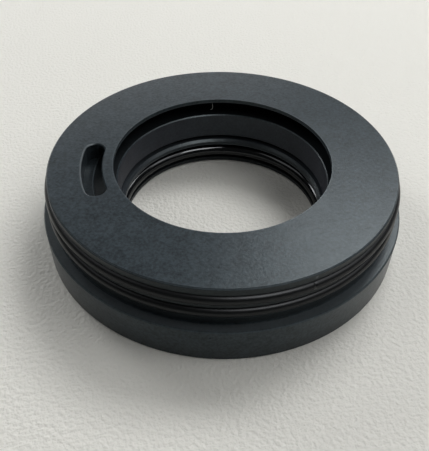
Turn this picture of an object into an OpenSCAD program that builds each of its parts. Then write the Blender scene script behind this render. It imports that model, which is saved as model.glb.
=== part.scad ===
// Bearing isolator: a labyrinth seal of a fixed stator and a rotor that turns with the shaft.
// It stands on its outboard face, with the inboard oil side up and the shaft axis on Z.

/* [Shaft and housing] */
// Diameter of the shaft that carries the rotor
shaft_d = 53; // [49:0.5:56]
// Radial gap between the shaft and the rotor bore
shaft_gap = 0.1; // [0.05:0.05:0.3]
// Diameter of the housing bore that takes the spigot
housing_d = 90; // [87:0.5:100]
// Radial gap between the housing bore and the spigot
housing_gap = 0.05; // [0.02:0.01:0.2]

/* [Stator] */
// Length of the spigot that enters the housing
spigot_l = 11.4; // [10.4:0.1:16]
// Chamfer on the inboard edge of the spigot
spigot_chamfer = 0.35; // [0.2:0.05:0.6]
// Thickness of the flange
flange_t = 9.8; // [8.8:0.1:14]
// Radial overhang of the flange past the spigot
flange_over = 2.55; // [1.5:0.05:6]
// Edge break on the flange
flange_break = 0.3; // [0.1:0.05:0.6]
// Radial gap between the shaft and the inboard lip
lip_gap = 1.75; // [1.6:0.05:2.4]
// Thickness of the inboard lip
lip_t = 1.1; // [0.8:0.1:2]
// Axial height of the oil cavity behind the lip
cavity_h = 3.8; // [3:0.05:5]
// Radial depth of the oil cavity past the inner wall
cavity_depth = 6.05; // [5:0.05:7]
// Radial gap between the shaft and the inner wall
wall_gap = 1.15; // [0.6:0.05:1.5]
// Edge break at both ends of the inner wall
wall_break = 0.25; // [0.1:0.05:0.4]

/* [Drain slot] */
// Width of the kidney slot, the cutter's diameter
slot_w = 5.2; // [4:0.1:6]
// Angle that the cutter's centre travels
slot_arc = 27.7; // [16:0.1:60]
// Step of the slot's floor above the floor of the oil cavity
slot_step = 0.25; // [0.1:0.05:0.6]
// Edge break around the slot's mouth
slot_break = 0.25; // [0.1:0.05:0.4]

/* [Spigot O-rings] */
// Section diameter of the two spigot O-rings
seal_d = 2.65; // [2.4:0.05:2.8]
// How far a free spigot O-ring stands out of its groove
seal_proud = 0.9; // [0.3:0.05:1]
// Axial slack of a spigot O-ring in its groove
seal_slack = 0.2; // [0.1:0.05:0.6]
// Width of the rim between the inboard face and the first groove
rim_w = 2; // [1.4:0.1:2.4]
// Width of the land between the two grooves
land_w = 1.1; // [0.8:0.1:1.4]

/* [Rotor] */
// Length of the rotor at the shaft
rotor_l = 7.6; // [7.2:0.1:8.4]
// Axial gap between the rotor's inboard end and the stator's inner wall
end_gap = 0.9; // [0.4:0.05:1.4]
// Wall of the rotor collar around the bore
collar_wall = 6.4; // [5.8:0.1:7]
// Thickness of the rotor's outboard head
head_t = 4.55; // [4.2:0.05:5]
// Depth that the rotor's outboard face is set in from the flange face
rotor_recess = 0.3; // [0.2:0.05:0.8]
// Lead-in chamfer at the inboard end of the rotor bore
bore_chamfer = 0.65; // [0.3:0.05:0.8]
// Edge break on the other rotor edges
rotor_break = 0.25; // [0.1:0.05:0.4]

/* [Labyrinth] */
// Running gap between stator and rotor
run_gap = 0.35; // [0.25:0.05:0.45]
// Share of the room between collar and flange edge for the stator's labyrinth fin, in percent
stator_fin_share = 22; // [15:0.5:28]
// Share of the same room for the rotor's labyrinth fin, in percent
rotor_fin_share = 17.5; // [12:0.5:24]
// Share of the same room for the rim of the rotor's head past its fin, in percent
head_rim_share = 18.5; // [14:0.5:24]
// Length of the rotor's labyrinth fin
rotor_fin_l = 4; // [2:0.1:4.5]

/* [Drive O-ring] */
// Section diameter of the drive O-ring
drive_d = 3.55; // [3:0.05:3.6]
// How far the free drive O-ring stands into the rotor bore
drive_proud = 0.2; // [0.1:0.05:0.5]
// Axial slack of the drive O-ring in its groove
drive_slack = 1.2; // [0.4:0.05:1.3]
// Height of the groove's lower wall above the rotor's outboard face
drive_set = 1.2; // [0.9:0.05:1.4]

/* [Unitizing ring] */
// Axial height of the lock ring
lock_h = 2; // [1.4:0.1:2.2]
// How deep the lock ring reaches into the rotor's head
lock_bite = 1; // [0.6:0.1:1.2]
// How deep the lock ring is seated in the stator
lock_seat = 1.4; // [1:0.1:2]
// Depth of the lock ring below the top of the rotor's head
lock_set = 1.2; // [0.9:0.1:1.4]

/* [Hidden] */
// Facets of a full circle on screen
$fn = 180;
// Clearance of a ring that is seated in its groove
seat_gap = 0.05;
// Reach of a cut past the face that it opens
past = 1;

// Axial stack, from the flange face up
total_h = flange_t + spigot_l;
cavity_z = total_h - lip_t - cavity_h;
slot_z = cavity_z + slot_step;
rotor_top = rotor_recess + rotor_l;
wall_z = rotor_top + end_gap;
head_top = rotor_recess + head_t;
counterbore_z = head_top + run_gap;
fin_top = head_top + rotor_fin_l;
lock_z = head_top - lock_set - lock_h;

// Radial stack, from the shaft outward
bore_r = shaft_d / 2 + shaft_gap;
wall_r = shaft_d / 2 + wall_gap;
lip_r = shaft_d / 2 + lip_gap;
cavity_r = wall_r + cavity_depth;
collar_r = bore_r + collar_wall;
collar_bore_r = collar_r + run_gap;
spigot_r = housing_d / 2 - housing_gap;
flange_r = spigot_r + flange_over;

// Labyrinth walls share the room between the collar and the flange edge, less their four gaps
wall_room = flange_r - collar_r - 4 * run_gap;
labyrinth_in_r = collar_bore_r + wall_room * stator_fin_share / 100;
fin_in_r = labyrinth_in_r + run_gap;
fin_out_r = fin_in_r + wall_room * rotor_fin_share / 100;
labyrinth_out_r = fin_out_r + run_gap;
head_r = labyrinth_out_r + wall_room * head_rim_share / 100;
counterbore_r = head_r + run_gap;

// Spigot O-ring grooves
seal_groove_w = seal_d + seal_slack;
seal_r = spigot_r + seal_proud - seal_d / 2;
seal_groove_r = seal_r - seal_d / 2 - seat_gap;
inboard_groove_z = total_h - rim_w - seal_groove_w;
outboard_groove_z = inboard_groove_z - land_w - seal_groove_w;

// Drive O-ring groove
drive_groove_z = rotor_recess + drive_set;
drive_groove_w = drive_d + drive_slack;
drive_r = bore_r - drive_proud + drive_d / 2;
drive_groove_r = drive_r + drive_d / 2 + seat_gap;

// A ring of rectangular section between two radii and two heights
module ring(r_in, r_out, z_low, z_high) {
    rotate_extrude()
        translate([r_in, z_low])
            square([r_out - r_in, z_high - z_low]);
}

// An O-ring of round section that rests on the lower wall of its groove
module o_ring(section_d, centre_r, groove_z) {
    translate([0, 0, groove_z + seat_gap + section_d / 2])
        rotate_extrude()
            translate([centre_r, 0])
                circle(d = section_d, $fn = 48);
}

// The path of the slot cutter, as a profile swept along the arc and turned at both of its ends
module slot_sweep() {
    rotate([0, 0, 180 - slot_arc / 2])
        rotate_extrude(angle = slot_arc)
            translate([cavity_r, 0])
                children();
    for (side = [-1, 1])
        rotate([0, 0, 180 + side * slot_arc / 2])
            translate([cavity_r, 0, 0])
                rotate_extrude()
                    intersection() {
                        children();
                        translate([0, -past])
                            square([slot_w, total_h + 2 * past]);
                    }
}

// The drain slot, down to just above the floor of the oil cavity, with a broken edge at its mouth
module drain_slot() {
    mouth_w = slot_w + 2 * (slot_break + past);
    slot_sweep()
        translate([-slot_w / 2, slot_z])
            square([slot_w, total_h + past - slot_z]);
    slot_sweep()
        polygon([
            [-slot_w / 2, total_h - slot_break],
            [slot_w / 2, total_h - slot_break],
            [mouth_w / 2, total_h + past],
            [-mouth_w / 2, total_h + past]
        ]);
}

// The slope by which the slot floor drops to the floor of the oil cavity
module slot_floor_edge() {
    rotate([0, 0, 180 - slot_arc / 2])
        rotate_extrude(angle = slot_arc)
            polygon([
                [cavity_r - past, cavity_z],
                [cavity_r, cavity_z],
                [cavity_r + slot_step, slot_z],
                [cavity_r - past, slot_z]
            ]);
}

// The outside of the stator: flange below, spigot above, edges broken
module stator_blank() {
    rotate_extrude()
        polygon([
            [0, 0],
            [flange_r - flange_break, 0],
            [flange_r, flange_break],
            [flange_r, flange_t - flange_break],
            [flange_r - flange_break, flange_t],
            [spigot_r, flange_t],
            [spigot_r, total_h - spigot_chamfer],
            [spigot_r - spigot_chamfer, total_h],
            [0, total_h]
        ]);
}

// The passage for the shaft: the inner wall with its broken edges, the oil cavity and the lip hole
module shaft_passage() {
    rotate_extrude()
        polygon([
            [0, wall_z - past],
            [wall_r + wall_break, wall_z - past],
            [wall_r + wall_break, wall_z],
            [wall_r, wall_z + wall_break],
            [wall_r, cavity_z - wall_break],
            [wall_r + wall_break, cavity_z],
            [cavity_r, cavity_z],
            [cavity_r, total_h - lip_t],
            [lip_r, total_h - lip_t],
            [lip_r, total_h + past],
            [0, total_h + past]
        ]);
}

module stator() {
    color([0.3, 0.33, 0.34])
        difference() {
            stator_blank();
            shaft_passage();
            // Room for the rotor's collar and head, and the labyrinth groove
            translate([0, 0, -past])
                cylinder(r = collar_bore_r, h = wall_z + past);
            translate([0, 0, -past])
                cylinder(r = counterbore_r, h = counterbore_z + past);
            ring(labyrinth_in_r, labyrinth_out_r, counterbore_z - past, fin_top + run_gap);
            // Lock ring groove and spigot O-ring grooves
            ring(0, counterbore_r + lock_seat + seat_gap, lock_z - seat_gap, lock_z + lock_h + seat_gap);
            for (groove_z = [inboard_groove_z, outboard_groove_z])
                ring(seal_groove_r, flange_r, groove_z, groove_z + seal_groove_w);
            drain_slot();
            slot_floor_edge();
        }
}

module inboard_o_ring() {
    color([0.08, 0.08, 0.08])
        o_ring(seal_d, seal_r, inboard_groove_z);
}

module outboard_o_ring() {
    color([0.08, 0.08, 0.08])
        o_ring(seal_d, seal_r, outboard_groove_z);
}

// The outside of the rotor: head and collar, with the labyrinth fin standing on the head
module rotor_blank() {
    rotate_extrude()
        polygon([
            [0, rotor_recess],
            [head_r - rotor_break, rotor_recess],
            [head_r, rotor_recess + rotor_break],
            [head_r, head_top],
            [fin_out_r, head_top],
            [fin_out_r, fin_top],
            [fin_in_r, fin_top],
            [fin_in_r, head_top],
            [collar_r, head_top],
            [collar_r, rotor_top - rotor_break],
            [collar_r - rotor_break, rotor_top],
            [0, rotor_top]
        ]);
}

module rotor() {
    color([0.24, 0.26, 0.28])
        difference() {
            rotor_blank();
            // Shaft bore with its broken outboard edge and its inboard lead-in
            cylinder(r = bore_r, h = total_h);
            translate([0, 0, rotor_recess])
                cylinder(r1 = bore_r + rotor_break, r2 = bore_r, h = rotor_break);
            translate([0, 0, rotor_top - bore_chamfer])
                cylinder(r1 = bore_r, r2 = bore_r + bore_chamfer, h = bore_chamfer);
            // Drive O-ring groove and lock ring groove
            ring(0, drive_groove_r, drive_groove_z, drive_groove_z + drive_groove_w);
            ring(
                head_r - lock_bite - run_gap,
                head_r + past,
                lock_z - run_gap,
                lock_z + lock_h + run_gap
            );
        }
}

module drive_o_ring() {
    color([0.06, 0.06, 0.06])
        o_ring(drive_d, drive_r, drive_groove_z);
}

module unitizing_ring() {
    color([0.85, 0.84, 0.8])
        ring(head_r - lock_bite, counterbore_r + lock_seat, lock_z, lock_z + lock_h);
}

stator();
inboard_o_ring();
outboard_o_ring();
rotor();
drive_o_ring();
unitizing_ring();
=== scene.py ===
import math

import bpy
import numpy as np
from mathutils import Matrix, Vector


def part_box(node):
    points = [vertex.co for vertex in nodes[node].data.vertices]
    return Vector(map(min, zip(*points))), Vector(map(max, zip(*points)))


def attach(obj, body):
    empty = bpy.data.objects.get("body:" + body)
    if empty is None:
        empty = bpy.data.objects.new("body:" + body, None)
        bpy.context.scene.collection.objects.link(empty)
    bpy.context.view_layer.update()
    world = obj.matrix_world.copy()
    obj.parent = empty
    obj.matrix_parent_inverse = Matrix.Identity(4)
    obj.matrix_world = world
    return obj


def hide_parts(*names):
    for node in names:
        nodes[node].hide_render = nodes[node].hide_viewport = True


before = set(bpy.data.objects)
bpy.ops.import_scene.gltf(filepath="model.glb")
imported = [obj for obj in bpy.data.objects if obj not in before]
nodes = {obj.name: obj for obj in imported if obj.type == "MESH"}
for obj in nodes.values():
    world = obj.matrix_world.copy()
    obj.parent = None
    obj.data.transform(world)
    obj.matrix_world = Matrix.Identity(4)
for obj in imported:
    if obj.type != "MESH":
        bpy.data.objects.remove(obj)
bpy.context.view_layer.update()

# Stator: the fixed ring, turned from a bar of dark filled PTFE, with its drain slot milled in afterwards.
# The filler gives a fine cloudy grain, the lathe tool leaves faint rings on every turned face, and the
# edges are broken by hand, which burnishes them a little lighter. Their lighter colour is partly that wear
# and partly painted highlight where the edge breaks catch the light.
MM = 0.001
FLANGE_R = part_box("stator")[1].x
TOP_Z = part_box("stator")[1].z
FLANGE_Z = 9.8 * MM
SPIGOT_R = FLANGE_R - 2.55 * MM
LIP_R = 28.25 * MM
LIP_Z = TOP_Z - 1.1 * MM
WALL_R = 27.65 * MM
WALL_LOW = 8.8 * MM
WALL_HIGH = 16.3 * MM
CAVITY_R = 33.7 * MM
SLOT_HALF_ANGLE = math.radians(13.85)
SLOT_HALF_W = 2.75 * MM
STATOR_DARK = (0.0045, 0.0059, 0.0069, 1)
STATOR_LIGHT = (0.0605, 0.0791, 0.0925, 1)
# Lighter edge colour: partly burnish from wear, partly painted highlight.
BURNISH_AND_HIGHLIGHT = (0.088, 0.107, 0.118, 1)
# Lighter slot rim colour: partly wear, partly painted highlight.
RIM_WEAR_AND_HIGHLIGHT = (0.135, 0.153, 0.162, 1)
# Dark tint for painted shade.
PAINTED_SHADE = (0.006, 0.007, 0.008, 1)
# Darker, bluer tint for painted shade on the inner wall.
WALL_SHADE_TINT = (0.030, 0.028, 0.040, 1)
# Pale grey: the speck on the rim, and the paler patch on the flange's ledge.
PALE_GREY = (0.100, 0.113, 0.120, 1)


def add_node(tree, kind, sockets=None, **settings):
    """One shader node: settings are its properties, sockets its inputs, each a plain value or a link."""
    node = tree.nodes.new(kind)
    for name, value in settings.items():
        setattr(node, name, value)
    for name, value in (sockets or {}).items():
        if isinstance(value, bpy.types.NodeSocket):
            tree.links.new(value, node.inputs[name])
        else:
            node.inputs[name].default_value = value
    return node


def number(tree, operation, *values):
    """The result of one step of arithmetic on values or links."""
    return add_node(tree, "ShaderNodeMath", dict(enumerate(values)), operation=operation).outputs[0]


def straight_line(tree, across, up):
    """The length of a step that has two parts at right angles."""
    squares = number(tree, "MULTIPLY_ADD", across, across, number(tree, "MULTIPLY", up, up))
    return number(tree, "SQRT", squares)


def fading(tree, away, width):
    """1 where a distance is 0, falling smoothly to 0 where it reaches a width."""
    return add_node(tree, "ShaderNodeMapRange", {
        "Value": number(tree, "DIVIDE", away, width),
        "From Min": 0.0, "From Max": 1.0, "To Min": 1.0, "To Max": 0.0,
    }, interpolation_type="SMOOTHSTEP").outputs[0]


def effect(name, values, result):
    """An empty node group that reads a position and some named values, and puts out one named value."""
    tree = bpy.data.node_groups.new(name, "ShaderNodeTree")
    tree.interface.new_socket("Position", in_out="INPUT", socket_type="NodeSocketVector")
    for value in values:
        tree.interface.new_socket(value, in_out="INPUT", socket_type="NodeSocketFloat")
    tree.interface.new_socket(result, in_out="OUTPUT", socket_type="NodeSocketFloat")
    return tree, tree.nodes.new("NodeGroupInput").outputs, tree.nodes.new("NodeGroupOutput").inputs


def radius_and_height(tree, position):
    """Distance from the shaft axis, height, and the two parts of the unit vector that points outwards."""
    split = add_node(tree, "ShaderNodeSeparateXYZ", {"Vector": position}).outputs
    flat = add_node(tree, "ShaderNodeCombineXYZ", {"X": split["X"], "Y": split["Y"]}).outputs[0]
    radius = add_node(tree, "ShaderNodeVectorMath", {0: flat}, operation="LENGTH").outputs["Value"]
    outward = add_node(tree, "ShaderNodeVectorMath", {0: flat}, operation="NORMALIZE").outputs[0]
    way = add_node(tree, "ShaderNodeSeparateXYZ", {"Vector": outward}).outputs
    return radius, split["Z"], way["X"], way["Y"]


# Tool rings: noise that runs fast across radius and height and slowly round the axis, so that flat faces
# get circles and round walls get hoops, with no seam.
lathe_rings, given, result = effect("lathe rings", ["Rings Per Metre", "Wander"], "Height")
radius, height, way_x, way_y = radius_and_height(lathe_rings, given["Position"])
across = add_node(lathe_rings, "ShaderNodeCombineXYZ", {
    "X": number(lathe_rings, "MULTIPLY", radius, given["Rings Per Metre"]),
    "Y": number(lathe_rings, "MULTIPLY", height, given["Rings Per Metre"]),
    "Z": number(lathe_rings, "MULTIPLY", way_x, given["Wander"]),
}).outputs[0]
rings = add_node(lathe_rings, "ShaderNodeTexNoise", {
    "Vector": across, "W": number(lathe_rings, "MULTIPLY", way_y, given["Wander"]),
    "Scale": 1.0, "Detail": 2.0, "Roughness": 0.55,
}, noise_dimensions="4D")
lathe_rings.links.new(rings.outputs[0], result["Height"])

# Cloud: fine grains over broader patches, from 0 to 1, as filler shows in a cut face.
GRAIN_SHARE = 0.70
PATCH_SHARE = 0.30
CLOUD_LOW = 0.22
CLOUD_HIGH = 0.78
cloud, given, result = effect("cloud", ["Grains Per Metre", "Patches Per Metre"], "Mask")
grains = add_node(cloud, "ShaderNodeTexNoise", {
    "Vector": given["Position"], "Scale": given["Grains Per Metre"], "Detail": 3.0, "Roughness": 0.6,
})
patches = add_node(cloud, "ShaderNodeTexNoise", {
    "Vector": given["Position"], "Scale": given["Patches Per Metre"], "Detail": 4.0, "Roughness": 0.55,
})
broad = number(cloud, "MULTIPLY", patches.outputs[0], PATCH_SHARE)
both = number(cloud, "MULTIPLY_ADD", grains.outputs[0], GRAIN_SHARE, broad)
spread = add_node(cloud, "ShaderNodeMapRange", {
    "Value": both, "From Min": CLOUD_LOW, "From Max": CLOUD_HIGH,
})
cloud.links.new(spread.outputs[0], result["Mask"])

# Edge: 1 on a turned edge at a given radius and height, fading to 0 over a width.
edge, given, result = effect("edge", ["Radius", "Height", "Width"], "Mask")
radius, height = radius_and_height(edge, given["Position"])[:2]
off_r = number(edge, "SUBTRACT", radius, given["Radius"])
off_z = number(edge, "SUBTRACT", height, given["Height"])
edge.links.new(fading(edge, straight_line(edge, off_r, off_z), given["Width"]), result["Mask"])

# Slot rim: like an edge, on the outer side of the drain slot's mouth. In place of the radius it takes the
# distance from the cutter's path, which is an arc about the axis, opposite +X.
slot_rim, given, result = effect(
    "slot rim", ["Path Radius", "Half Angle", "Half Width", "Height", "Width"], "Mask")
radius, height, way_x, way_y = radius_and_height(slot_rim, given["Position"])
turned = number(slot_rim, "ARCTAN2", way_y, number(slot_rim, "MULTIPLY", way_x, -1.0))
half_back = number(slot_rim, "MULTIPLY", given["Half Angle"], -1.0)
held = number(slot_rim, "MINIMUM", number(slot_rim, "MAXIMUM", turned, half_back), given["Half Angle"])
swing = number(slot_rim, "COSINE", number(slot_rim, "SUBTRACT", turned, held))
both_r = number(slot_rim, "MULTIPLY", radius, given["Path Radius"])
squares = number(slot_rim, "MULTIPLY_ADD", radius, radius, number(
    slot_rim, "MULTIPLY", given["Path Radius"], given["Path Radius"]))
from_path = number(slot_rim, "SQRT", number(slot_rim, "MAXIMUM", 0.0, number(
    slot_rim, "MULTIPLY_ADD", number(slot_rim, "MULTIPLY", both_r, swing), -2.0, squares)))
off_r = number(slot_rim, "SUBTRACT", from_path, given["Half Width"])
off_z = number(slot_rim, "SUBTRACT", height, given["Height"])
at_mouth = fading(slot_rim, straight_line(slot_rim, off_r, off_z), given["Width"])
outer_side = add_node(slot_rim, "ShaderNodeMapRange", {
    "Value": number(slot_rim, "DIVIDE", number(
        slot_rim, "SUBTRACT", radius, given["Path Radius"]), given["Half Width"]),
    "From Min": 0.0, "From Max": 0.8,
})
slot_rim.links.new(number(slot_rim, "MULTIPLY", at_mouth, outer_side.outputs[0]), result["Mask"])

# Zone: 1 between two radii and two heights, fading to 0 over a soft border to both sides of its edge.
zone, given, result = effect("zone", ["Inner", "Outer", "Low", "High", "Soft"], "Mask")
radius, height = radius_and_height(zone, given["Position"])[:2]
within_r = number(zone, "MINIMUM", number(zone, "SUBTRACT", radius, given["Inner"]), number(
    zone, "SUBTRACT", given["Outer"], radius))
within_z = number(zone, "MINIMUM", number(zone, "SUBTRACT", height, given["Low"]), number(
    zone, "SUBTRACT", given["High"], height))
inside = add_node(zone, "ShaderNodeMapRange", {
    "Value": number(zone, "DIVIDE", number(zone, "MINIMUM", within_r, within_z), given["Soft"]),
    "From Min": -1.0, "From Max": 1.0,
}, interpolation_type="SMOOTHSTEP")
zone.links.new(inside.outputs[0], result["Mask"])


def masked(tree, group, position, values):
    """The output of a node group placed in a material with its own values."""
    placed = tree.nodes.new("ShaderNodeGroup")
    placed.node_tree = group
    tree.links.new(position, placed.inputs["Position"])
    for name, value in values.items():
        placed.inputs[name].default_value = value
    return placed.outputs[0]


def blend(tree, share, low, high):
    """A colour between two, by a share from 0 to 1."""
    mix = add_node(tree, "ShaderNodeMix", data_type="RGBA")
    for socket, value in ((mix.inputs[0], share), (mix.inputs[6], low), (mix.inputs[7], high)):
        if isinstance(value, bpy.types.NodeSocket):
            tree.links.new(value, socket)
        else:
            socket.default_value = value
    return mix.outputs[2]


def speck(tree, position, centre, size):
    """1 at a point, fading to 0 at a distance."""
    apart = add_node(tree, "ShaderNodeVectorMath", {0: position, 1: centre}, operation="DISTANCE")
    return fading(tree, apart.outputs["Value"], size)


PTFE_IOR = 1.35
PTFE_GLINT = (0.84, 0.97, 1.0, 1)
PTFE_SMOOTH = 0.26
PTFE_DULL = 0.34
FILLER = {"Grains Per Metre": 1400, "Patches Per Metre": 300}
PTFE_SMUDGES = {"Grains Per Metre": 420, "Patches Per Metre": 70}
TOOL_RINGS = {"Rings Per Metre": 5200, "Wander": 2.5}
RING_DEPTH = 0.012 * MM
GRAIN_PER_RING = 2.4
EDGE_W = 0.35 * MM
RIM_W = 0.42 * MM
SCUFF_LEAST = 0.4
SCUFF_BY_GRAIN = 0.5


def turned_ptfe(name, dark, light, edges, zone_tints=(), slots=(), specks=()):
    """Turned PTFE: cloudy colour, tool rings and grain as bump, and edges given as (radius, height) that
    are painted lighter, partly as burnish and partly as painted highlight.
    Each zone tint, painted shade where it is dark, is (inner radius, outer radius, low, high, border,
    colour, share).
    Each slot is (path radius, half angle, half width, height); its outer rim is painted lighter, partly as
    wear and partly as painted highlight.
    Each pale speck is (centre, size)."""
    material = bpy.data.materials.new(name)
    material.use_nodes = True
    tree = material.node_tree
    shader = tree.nodes["Principled BSDF"]
    shader.inputs["IOR"].default_value = PTFE_IOR
    shader.inputs["Specular Tint"].default_value = PTFE_GLINT
    position = add_node(tree, "ShaderNodeTexCoord").outputs["Object"]
    grain = masked(tree, cloud, position, FILLER)
    colour = blend(tree, grain, dark, light)
    # Edges painted lighter: partly burnish, partly painted highlight.
    edge_lighter = 0.0
    for at_r, at_z in edges:
        here = masked(tree, edge, position, {"Radius": at_r, "Height": at_z, "Width": EDGE_W})
        edge_lighter = number(tree, "MAXIMUM", edge_lighter, here)
    uneven = number(tree, "MULTIPLY_ADD", grain, SCUFF_BY_GRAIN, SCUFF_LEAST)
    colour = blend(tree, number(tree, "MULTIPLY", edge_lighter, uneven), colour, BURNISH_AND_HIGHLIGHT)
    # The slot's outer rim is painted lighter, partly as wear and partly as painted highlight.
    for path_r, half_angle, half_width, at_z in slots:
        rim = masked(tree, slot_rim, position, {
            "Path Radius": path_r, "Half Angle": half_angle, "Half Width": half_width, "Height": at_z,
            "Width": RIM_W,
        })
        colour = blend(tree, rim, colour, RIM_WEAR_AND_HIGHLIGHT)
    # Zone tints: the dark ones are painted shade, the pale one a paler patch.
    for inner, outer, low, high, soft, tint, share in zone_tints:
        there = masked(tree, zone, position, {
            "Inner": inner, "Outer": outer, "Low": low, "High": high, "Soft": soft,
        })
        colour = blend(tree, number(tree, "MULTIPLY", there, share), colour, tint)
    for centre, size in specks:
        colour = blend(tree, speck(tree, position, centre, size), colour, PALE_GREY)
    tree.links.new(colour, shader.inputs["Base Color"])
    smudge = masked(tree, cloud, position, PTFE_SMUDGES)
    rough = number(tree, "MULTIPLY_ADD", smudge, PTFE_DULL - PTFE_SMOOTH, PTFE_SMOOTH)
    tree.links.new(rough, shader.inputs["Roughness"])
    rings = masked(tree, lathe_rings, position, TOOL_RINGS)
    relief = number(tree, "MULTIPLY_ADD", grain, GRAIN_PER_RING, rings)
    bump = add_node(tree, "ShaderNodeBump", {"Height": relief, "Strength": 1.0, "Distance": RING_DEPTH})
    tree.links.new(bump.outputs[0], shader.inputs["Normal"])
    return material


def finish_with(piece, material):
    """Gives a piece one material in place of any that it has."""
    piece.data.materials.clear()
    piece.data.materials.append(material)


def on_circle(radius, azimuth, height):
    """The point at that distance from the shaft axis, that azimuth and that height."""
    return radius * math.cos(azimuth), radius * math.sin(azimuth), height


# A chamfered edge wears along the middle of its chamfer, so half a chamfer in from both faces. The lip's
# two edges are sharp, and the last edge is the step from the slot's floor down to the cavity.
SPIGOT_BREAK = 0.175 * MM
FLANGE_BREAK = 0.15 * MM
WALL_BREAK = 0.12 * MM
SLOT_STEP = 0.2 * MM
# Each of these edges is painted lighter, partly as wear and partly as painted highlight.
stator_edges = [
    (SPIGOT_R - SPIGOT_BREAK, TOP_Z - SPIGOT_BREAK),
    (LIP_R, TOP_Z),
    (LIP_R, LIP_Z),
    (FLANGE_R - FLANGE_BREAK, FLANGE_Z - FLANGE_BREAK),
    (FLANGE_R - FLANGE_BREAK, FLANGE_BREAK),
    (WALL_R + WALL_BREAK, WALL_LOW + WALL_BREAK),
    (CAVITY_R + SLOT_STEP, WALL_HIGH + SLOT_STEP),
]

# Zone tints: painted shade on the spigot, in the cavity under the lip and in the slot, darker and bluer
# painted shade on the inner wall, a paler patch on the flange's ledge, and painted shade darkening the
# foot.
TINT_BORDER = 0.1 * MM
FOOT_BORDER = 3 * MM
# Painted shade on the spigot's side, its rim and its lands.
spigot_shade = (
    SPIGOT_R - 3 * MM, SPIGOT_R + 1 * MM, FLANGE_Z + 0.4 * MM, TOP_Z - 0.3 * MM,
    TINT_BORDER, PAINTED_SHADE, 0.75)
# Darker, bluer painted shade on the inner wall.
inner_wall_shade = (
    WALL_R - 1 * MM, WALL_R + 0.2 * MM, WALL_LOW, WALL_HIGH - 0.3 * MM,
    TINT_BORDER, WALL_SHADE_TINT, 0.6)
# A paler patch on the flange's ledge.
ledge_paler = (
    SPIGOT_R + 0.25 * MM, FLANGE_R - 0.4 * MM, FLANGE_Z - 0.2 * MM, FLANGE_Z + 0.2 * MM,
    TINT_BORDER, PALE_GREY, 0.6)
# Painted shade, darker towards the flange's foot.
foot_shade = (
    FLANGE_R - 0.2 * MM, FLANGE_R + 12.5 * MM, -9 * MM, 2.5 * MM,
    FOOT_BORDER, PAINTED_SHADE, 0.5)
# Painted shade in the cavity under the lip.
cavity_shade = (
    LIP_R - 0.35 * MM, CAVITY_R, WALL_HIGH - 0.1 * MM, LIP_Z,
    TINT_BORDER, PAINTED_SHADE, 0.9)
# Painted shade in the slot.
slot_shade = (
    CAVITY_R + 0.4 * MM, CAVITY_R + 3.3 * MM, WALL_HIGH + 0.1 * MM, TOP_Z - 0.4 * MM,
    TINT_BORDER, PAINTED_SHADE, 0.4)
stator_zone_tints = [spigot_shade, inner_wall_shade, ledge_paler, foot_shade, cavity_shade, slot_shade]
# The drain slot's outer rim gets a lighter colour: partly wear, partly painted highlight.
drain_slot = (CAVITY_R, SLOT_HALF_ANGLE, SLOT_HALF_W, TOP_Z - 0.1 * MM)
SPECK_AZIMUTH = math.radians(-73.2)
SPECK_SIZE = 0.6 * MM
rim_speck = (on_circle(SPIGOT_R, SPECK_AZIMUTH, TOP_Z - 1 * MM), SPECK_SIZE)
finish_with(nodes["stator"], turned_ptfe(
    "stator PTFE", STATOR_DARK, STATOR_LIGHT, stator_edges, stator_zone_tints, [drain_slot], [rim_speck]))

# Lip burr: a thread of PTFE that the boring tool left on the lower edge of the stator's lip.
# It hangs into the oil cavity at the far side, curls at its foot and tapers to both ends.
BURR_THICK = 0.26 * MM
BURR_BLUNT = 0.35
BURR_STEPS = 28
BURR_SIDES = 10
BURR_COLOUR = (0.20, 0.20, 0.19, 1)
BURR_ROUGH = 0.5
BURR_AZIMUTHS = (86.6, 86.5, 85.6, 88.1)
BURR_HEIGHTS = (20.15, 18.9, 17.6, 17.85)


def bent(share, ends):
    """Values along a cubic curve: four given values, weighed by the shares of a curve with four handles."""
    rest = 1 - share
    first, second, third, last = ends
    early = rest ** 3 * first + 3 * rest ** 2 * share * second
    late = 3 * rest * share ** 2 * third + share ** 3 * last
    return early + late


def thread(name, path, outward, thickest):
    """A thin round thread: circles about each point of a path, with a tip at each end.
    Their width is a flattened sine of the way along, so it is widest in the middle."""
    ahead = np.gradient(path, axis=0)
    side = np.cross(outward, ahead)
    side /= np.linalg.norm(side, axis=1, keepdims=True)
    share = np.linspace(0, 1, len(path))[1:-1, None, None]
    turn = np.linspace(0, 2 * np.pi, BURR_SIDES, endpoint=False)[None, :, None]
    width = thickest / 2 * np.sin(np.pi * share) ** BURR_BLUNT
    circles = path[1:-1, None] + width * (np.cos(turn) * side[1:-1, None] + np.sin(turn) * outward)
    here = np.arange(len(circles) * BURR_SIDES).reshape(-1, BURR_SIDES)
    beside = np.roll(here, -1, axis=1)
    walls = np.stack([here[:-1], beside[:-1], beside[1:], here[1:]], axis=-1).reshape(-1, 4)
    head = np.stack([beside[0], here[0], np.full(BURR_SIDES, here.size)], axis=-1)
    foot = np.stack([here[-1], beside[-1], np.full(BURR_SIDES, here.size + 1)], axis=-1)
    mesh = bpy.data.meshes.new(name)
    mesh.from_pydata(
        circles.reshape(-1, 3).tolist() + [path[0].tolist(), path[-1].tolist()], [],
        walls.tolist() + head.tolist() + foot.tolist())
    mesh.polygons.foreach_set("use_smooth", np.ones(len(mesh.polygons), dtype=bool))
    piece = bpy.data.objects.new(name, mesh)
    bpy.context.scene.collection.objects.link(piece)
    return piece


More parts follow.
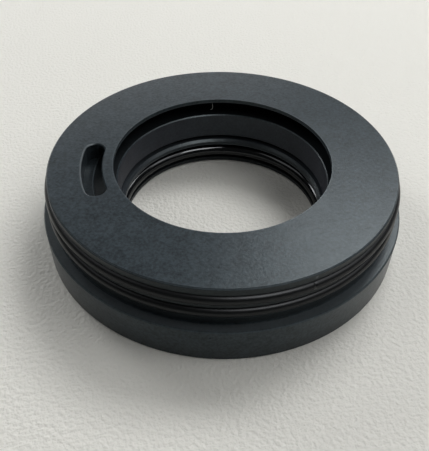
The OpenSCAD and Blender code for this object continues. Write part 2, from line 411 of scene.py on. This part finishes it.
along = np.linspace(0, 1, BURR_STEPS)
burr_turn = np.radians(bent(along, BURR_AZIMUTHS))
burr_path = np.stack([
    LIP_R * np.cos(burr_turn), LIP_R * np.sin(burr_turn), bent(along, BURR_HEIGHTS) * MM,
], axis=-1)
burr = thread("lip_burr", burr_path, np.array([0.0, 1.0, 0.0]), BURR_THICK)
burr_ptfe = bpy.data.materials.new("burr PTFE")
burr_ptfe.use_nodes = True
burr_shader = burr_ptfe.node_tree.nodes["Principled BSDF"]
burr_shader.inputs["Base Color"].default_value = BURR_COLOUR
burr_shader.inputs["Roughness"].default_value = BURR_ROUGH
finish_with(burr, burr_ptfe)
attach(burr, "stator_unit")

# Spigot O-rings: two black rubber rings from a split mould, stretched over the spigot into its grooves.
# The mould leaves a fine flash line round the inside and the outside of the cord, and the stretch leaves
# each ring a little uneven in its groove. The inboard ring has a nick across its cord.
RUBBER_DARK = (0.0065, 0.0070, 0.0075, 1)
RUBBER_LIGHT = (0.0120, 0.0130, 0.0140, 1)
RUBBER_GLINT = (0.94, 0.97, 1.0, 1)
BLOOM = {"Grains Per Metre": 900, "Patches Per Metre": 150}
RUBBER_SMUDGES = {"Grains Per Metre": 300, "Patches Per Metre": 60}
SKIN_SCALE = 2600.0
SKIN_DEPTH = 0.006 * MM
TORN = (0.060, 0.060, 0.058, 1)
TORN_SIZE = 0.7 * MM
FLASH_H = 0.03 * MM
FLASH_W = 0.16 * MM
NICK_AZIMUTH = math.radians(-73.8)
NICK_W = 0.28 * MM
NICK_DEPTH = 0.09 * MM
NICK_REACH = 3 * NICK_W
NICK_COLUMNS = 41
RING_COLUMNS = 480
CORD_ROWS = 72
SPIGOT_SWAY = 0.03 * MM


def closed_grid(name, points):
    """A smooth mesh over a grid of points, rows by columns, that closes on itself both ways."""
    rows, columns = points.shape[:2]
    here = np.arange(rows * columns).reshape(rows, columns)
    along = np.roll(here, -1, axis=0)
    faces = np.stack([here, along, np.roll(along, -1, axis=1), np.roll(here, -1, axis=1)], axis=-1)
    mesh = bpy.data.meshes.new(name)
    mesh.from_pydata(points.reshape(-1, 3).tolist(), [], faces.reshape(-1, 4).tolist())
    mesh.polygons.foreach_set("use_smooth", np.ones(rows * columns, dtype=bool))
    piece = bpy.data.objects.new(name, mesh)
    bpy.context.scene.collection.objects.link(piece)
    return piece


def moulded_ring(name, node, sway, nicks=()):
    """A round cord bent to a circle: points at cord radius round a centre line of the node's own size.
    The cord radius has a low ridge at its inside and its outside, and a dip at each nick's azimuth, where
    the columns stand closer. The centre line sways a few hundredths of a millimetre up and out, by two
    slow waves."""
    low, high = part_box(node)
    cord_r = (high.z - low.z) / 2
    ring_r = high.x - cord_r
    level = (high.z + low.z) / 2
    turn = np.linspace(0, 2 * np.pi, RING_COLUMNS, endpoint=False)
    for azimuth in nicks:
        close_by = azimuth % (2 * np.pi) + np.linspace(-NICK_REACH, NICK_REACH, NICK_COLUMNS) / ring_r
        turn = np.union1d(turn, close_by)
    turn = turn[:, None]
    round_cord = np.linspace(0, 2 * np.pi, CORD_ROWS, endpoint=False)[None, :]
    from_flash = cord_r * np.abs(np.sin(round_cord))
    section = cord_r + FLASH_H * np.exp(-((from_flash / FLASH_W) ** 2)) + 0 * turn
    for azimuth in nicks:
        away = ring_r * np.sin(turn - azimuth)
        same_side = np.cos(turn - azimuth) > 0
        section = section - NICK_DEPTH * np.exp(-((away / NICK_W) ** 2)) * same_side
    centre_r = ring_r + sway * np.sin(3 * turn + 0.7)
    centre_z = level + sway * np.sin(2 * turn + 2.1)
    out = centre_r + section * np.cos(round_cord)
    points = np.stack([
        out * np.cos(turn), out * np.sin(turn), centre_z + section * np.sin(round_cord),
    ], axis=-1)
    piece = closed_grid(name, points)
    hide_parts(node)
    return piece


def moulded_rubber(name, smooth, dull, ior, nicks=()):
    """Moulded black rubber: a dark skin with a faint bloom, and a roughness that varies between two values.
    It is torn paler at each nick, which is given as a point on the crest of the cord."""
    material = bpy.data.materials.new(name)
    material.use_nodes = True
    tree = material.node_tree
    shader = tree.nodes["Principled BSDF"]
    shader.inputs["IOR"].default_value = ior
    shader.inputs["Specular Tint"].default_value = RUBBER_GLINT
    position = add_node(tree, "ShaderNodeTexCoord").outputs["Object"]
    colour = blend(tree, masked(tree, cloud, position, BLOOM), RUBBER_DARK, RUBBER_LIGHT)
    for centre in nicks:
        colour = blend(tree, speck(tree, position, centre, TORN_SIZE), colour, TORN)
    tree.links.new(colour, shader.inputs["Base Color"])
    smudge = masked(tree, cloud, position, RUBBER_SMUDGES)
    rough = number(tree, "MULTIPLY_ADD", smudge, dull - smooth, smooth)
    tree.links.new(rough, shader.inputs["Roughness"])
    skin = add_node(tree, "ShaderNodeTexNoise", {"Vector": position, "Scale": SKIN_SCALE, "Detail": 2.0})
    bump = add_node(tree, "ShaderNodeBump", {
        "Height": skin.outputs[0], "Strength": 1.0, "Distance": SKIN_DEPTH,
    })
    tree.links.new(bump.outputs[0], shader.inputs["Normal"])
    return material


nick_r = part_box("inboard_o_ring")[1].x
nick_z = sum(end.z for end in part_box("inboard_o_ring")) / 2
nick = on_circle(nick_r, NICK_AZIMUTH, nick_z)
spigot_rubber = moulded_rubber("spigot O-ring rubber", smooth=0.28, dull=0.36, ior=1.33, nicks=[nick])
inboard_ring = moulded_ring("inboard_seal", "inboard_o_ring", SPIGOT_SWAY, nicks=[NICK_AZIMUTH])
outboard_ring = moulded_ring("outboard_seal", "outboard_o_ring", SPIGOT_SWAY)
for piece in (inboard_ring, outboard_ring):
    finish_with(piece, spigot_rubber)
    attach(piece, "stator_unit")

# Rotor: the ring that turns with the shaft, turned from the same PTFE bar as the stator.
# Its inboard end and its bore show low in the stator's opening, so its colours are darker than the
# stator's, as painted shade, and more painted shade covers its bore and groove.
BORE_R = 26.6 * MM
GROOVE_LOW = 1.5 * MM
GROOVE_HIGH = 6.25 * MM
# Darker than the stator's colours: painted shade.
ROTOR_SHADED_DARK = (0.024, 0.028, 0.033, 1)
ROTOR_SHADED_LIGHT = (0.034, 0.040, 0.046, 1)
# Groove edges painted lighter: partly wear, partly painted highlight.
rotor_edges = [(BORE_R, GROOVE_LOW), (BORE_R, GROOVE_HIGH)]
# Painted shade over the bore and its groove.
rotor_zone_tints = [
    (BORE_R - 1 * MM, BORE_R + 4 * MM, 0.6 * MM, GROOVE_HIGH - 0.05 * MM, TINT_BORDER, PAINTED_SHADE, 0.9),
]
finish_with(nodes["rotor"], turned_ptfe("rotor PTFE", ROTOR_SHADED_DARK, ROTOR_SHADED_LIGHT, rotor_edges, rotor_zone_tints))

# Drive O-ring: a thicker rubber cord in the rotor's bore groove, which grips the shaft and turns the rotor.
# It is greased for fitting, so it shines more than the spigot's rings.
DRIVE_SWAY = 0.02 * MM
drive_ring = moulded_ring("drive_seal", "drive_o_ring", DRIVE_SWAY)
finish_with(drive_ring, moulded_rubber("drive O-ring rubber", smooth=0.05, dull=0.09, ior=1.48))
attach(drive_ring, "rotor_unit")

# Unitizing ring: a plain lock ring of unfilled, off-white PTFE that sits in facing grooves of both rings.
# It is hidden when the isolator is together, and has the same tool rings as the other turned pieces.
LOCK_DARK = (0.66, 0.66, 0.63, 1)
LOCK_LIGHT = (0.76, 0.76, 0.74, 1)
finish_with(nodes["unitizing_ring"], turned_ptfe("lock PTFE", LOCK_DARK, LOCK_LIGHT, []))

# Stage: a pale foam sheet on a bench, under soft lamps at the back and at both sides, more at the right.
# Azimuths are counted from the way the camera looks, to its right. The camera stands as for the photo.
VIEW_TURN = math.radians(-9.5)
AIM = Vector((0, 0, TOP_Z / 2))
LAMP_DISTANCE = 1.1
LAMP_WHITE = (1.0, 0.995, 1.0)


def studio_spot(azimuth, elevation, distance):
    """A point at that azimuth and elevation in degrees and that distance in metres from the part."""
    heading = math.radians(azimuth) - VIEW_TURN
    rise = math.radians(elevation)
    return AIM + distance * Vector((
        math.sin(heading) * math.cos(rise), math.cos(heading) * math.cos(rise), math.sin(rise),
    ))


def soft_panel(name, azimuth, elevation, width, depth, watts):
    """A rectangular lamp that faces the part and is itself out of sight, with its size in metres."""
    lamp = bpy.data.lights.new(name, "AREA")
    lamp.shape = "RECTANGLE"
    lamp.size = width
    lamp.size_y = depth
    lamp.energy = watts
    lamp.color = LAMP_WHITE
    panel = bpy.data.objects.new(name, lamp)
    panel.location = studio_spot(azimuth, elevation, LAMP_DISTANCE)
    panel.rotation_euler = (AIM - panel.location).to_track_quat("-Z", "Y").to_euler()
    panel.visible_camera = False
    bpy.context.scene.collection.objects.link(panel)
    return panel


soft_panel("back light", 25, 49, width=0.42, depth=0.34, watts=3.93)
soft_panel("right back light", 45, 40, width=0.30, depth=0.30, watts=1.62)
soft_panel("right light", 76, 53, width=0.85, depth=0.60, watts=2.65)
soft_panel("right front light", 110, 45, width=0.80, depth=0.60, watts=1.55)
soft_panel("far wall", -21.5, 21.3, width=1.25, depth=0.34, watts=2.43)
soft_panel("left back light", -45, 30, width=0.30, depth=0.30, watts=1.96)
soft_panel("left wall", -88, 50, width=0.70, depth=0.60, watts=1.30)

# The front tube shows only in reflections, and is there for the glints on the rubber.
front_tube = soft_panel("front tube", 142, 62, width=0.48, depth=0.55, watts=6.0)
front_tube.visible_diffuse = False

ROOM_COLOUR = (0.93, 0.94, 0.93, 1)
ROOM_SEEN = 0.85
ROOM_IN_GLOSS = 0.02
ROOM_FILL = 0.031
world = bpy.data.worlds.new("room")
bpy.context.scene.world = world
world.use_nodes = True
room = world.node_tree
rays = add_node(room, "ShaderNodeLightPath").outputs
seen = number(room, "MAXIMUM", rays["Is Camera Ray"], rays["Is Transmission Ray"])
shine = number(room, "MULTIPLY_ADD", rays["Is Glossy Ray"], ROOM_IN_GLOSS, ROOM_FILL)
background = room.nodes["Background"]
background.inputs["Color"].default_value = ROOM_COLOUR
room.links.new(number(room, "MULTIPLY_ADD", seen, ROOM_SEEN, shine), background.inputs["Strength"])

FLOOR_COLOUR = (0.88, 0.875, 0.812, 1)
FLOOR_ROUGH = 0.6
FLOOR_R = 0.9
FLOOR_CORNERS = 128
FOAM_SCALE = 1000.0
FOAM_DEPTH = 0.4 * MM
floor_mesh = bpy.data.meshes.new("foam_sheet")
floor_turn = np.linspace(0, 2 * np.pi, FLOOR_CORNERS, endpoint=False)
floor_rim = np.stack([FLOOR_R * np.cos(floor_turn), FLOOR_R * np.sin(floor_turn), 0 * floor_turn], axis=-1)
floor_mesh.from_pydata(floor_rim.tolist(), [], [range(FLOOR_CORNERS)])
floor = bpy.data.objects.new("foam_sheet", floor_mesh)
bpy.context.scene.collection.objects.link(floor)
foam = bpy.data.materials.new("pale foam")
foam.use_nodes = True
foam_shader = foam.node_tree.nodes["Principled BSDF"]
foam_shader.inputs["Base Color"].default_value = FLOOR_COLOUR
foam_shader.inputs["Roughness"].default_value = FLOOR_ROUGH
foam_cells = add_node(foam.node_tree, "ShaderNodeTexNoise", {
    "Vector": add_node(foam.node_tree, "ShaderNodeTexCoord").outputs["Object"],
    "Scale": FOAM_SCALE, "Detail": 3.0,
})
foam_bump = add_node(foam.node_tree, "ShaderNodeBump", {
    "Height": foam_cells.outputs[0], "Strength": 1.0, "Distance": FOAM_DEPTH,
})
foam.node_tree.links.new(foam_bump.outputs[0], foam_shader.inputs["Normal"])
floor_mesh.materials.append(foam)

IMAGE_HEIGHT = 451
LENS_PIXELS = 580.05
CAMERA_SPOT = Vector((-21.93, -119.67, 112.02)) * MM
CAMERA_TILT = math.radians(46.513)
CAMERA_ROLL = math.radians(0.697)
eye = bpy.data.cameras.new("photo camera")
eye.sensor_width = 36
eye.lens = LENS_PIXELS * eye.sensor_width / IMAGE_HEIGHT
eye.clip_start = 0.01
camera = bpy.data.objects.new("photo camera", eye)
camera.matrix_world = Matrix.Translation(CAMERA_SPOT) @ (
    Matrix.Rotation(VIEW_TURN, 4, "Z") @ Matrix.Rotation(CAMERA_TILT, 4, "X")
    @ Matrix.Rotation(CAMERA_ROLL, 4, "Z"))
bpy.context.scene.collection.objects.link(camera)
bpy.context.scene.camera = camera
bpy.context.scene.view_settings.view_transform = "Standard"
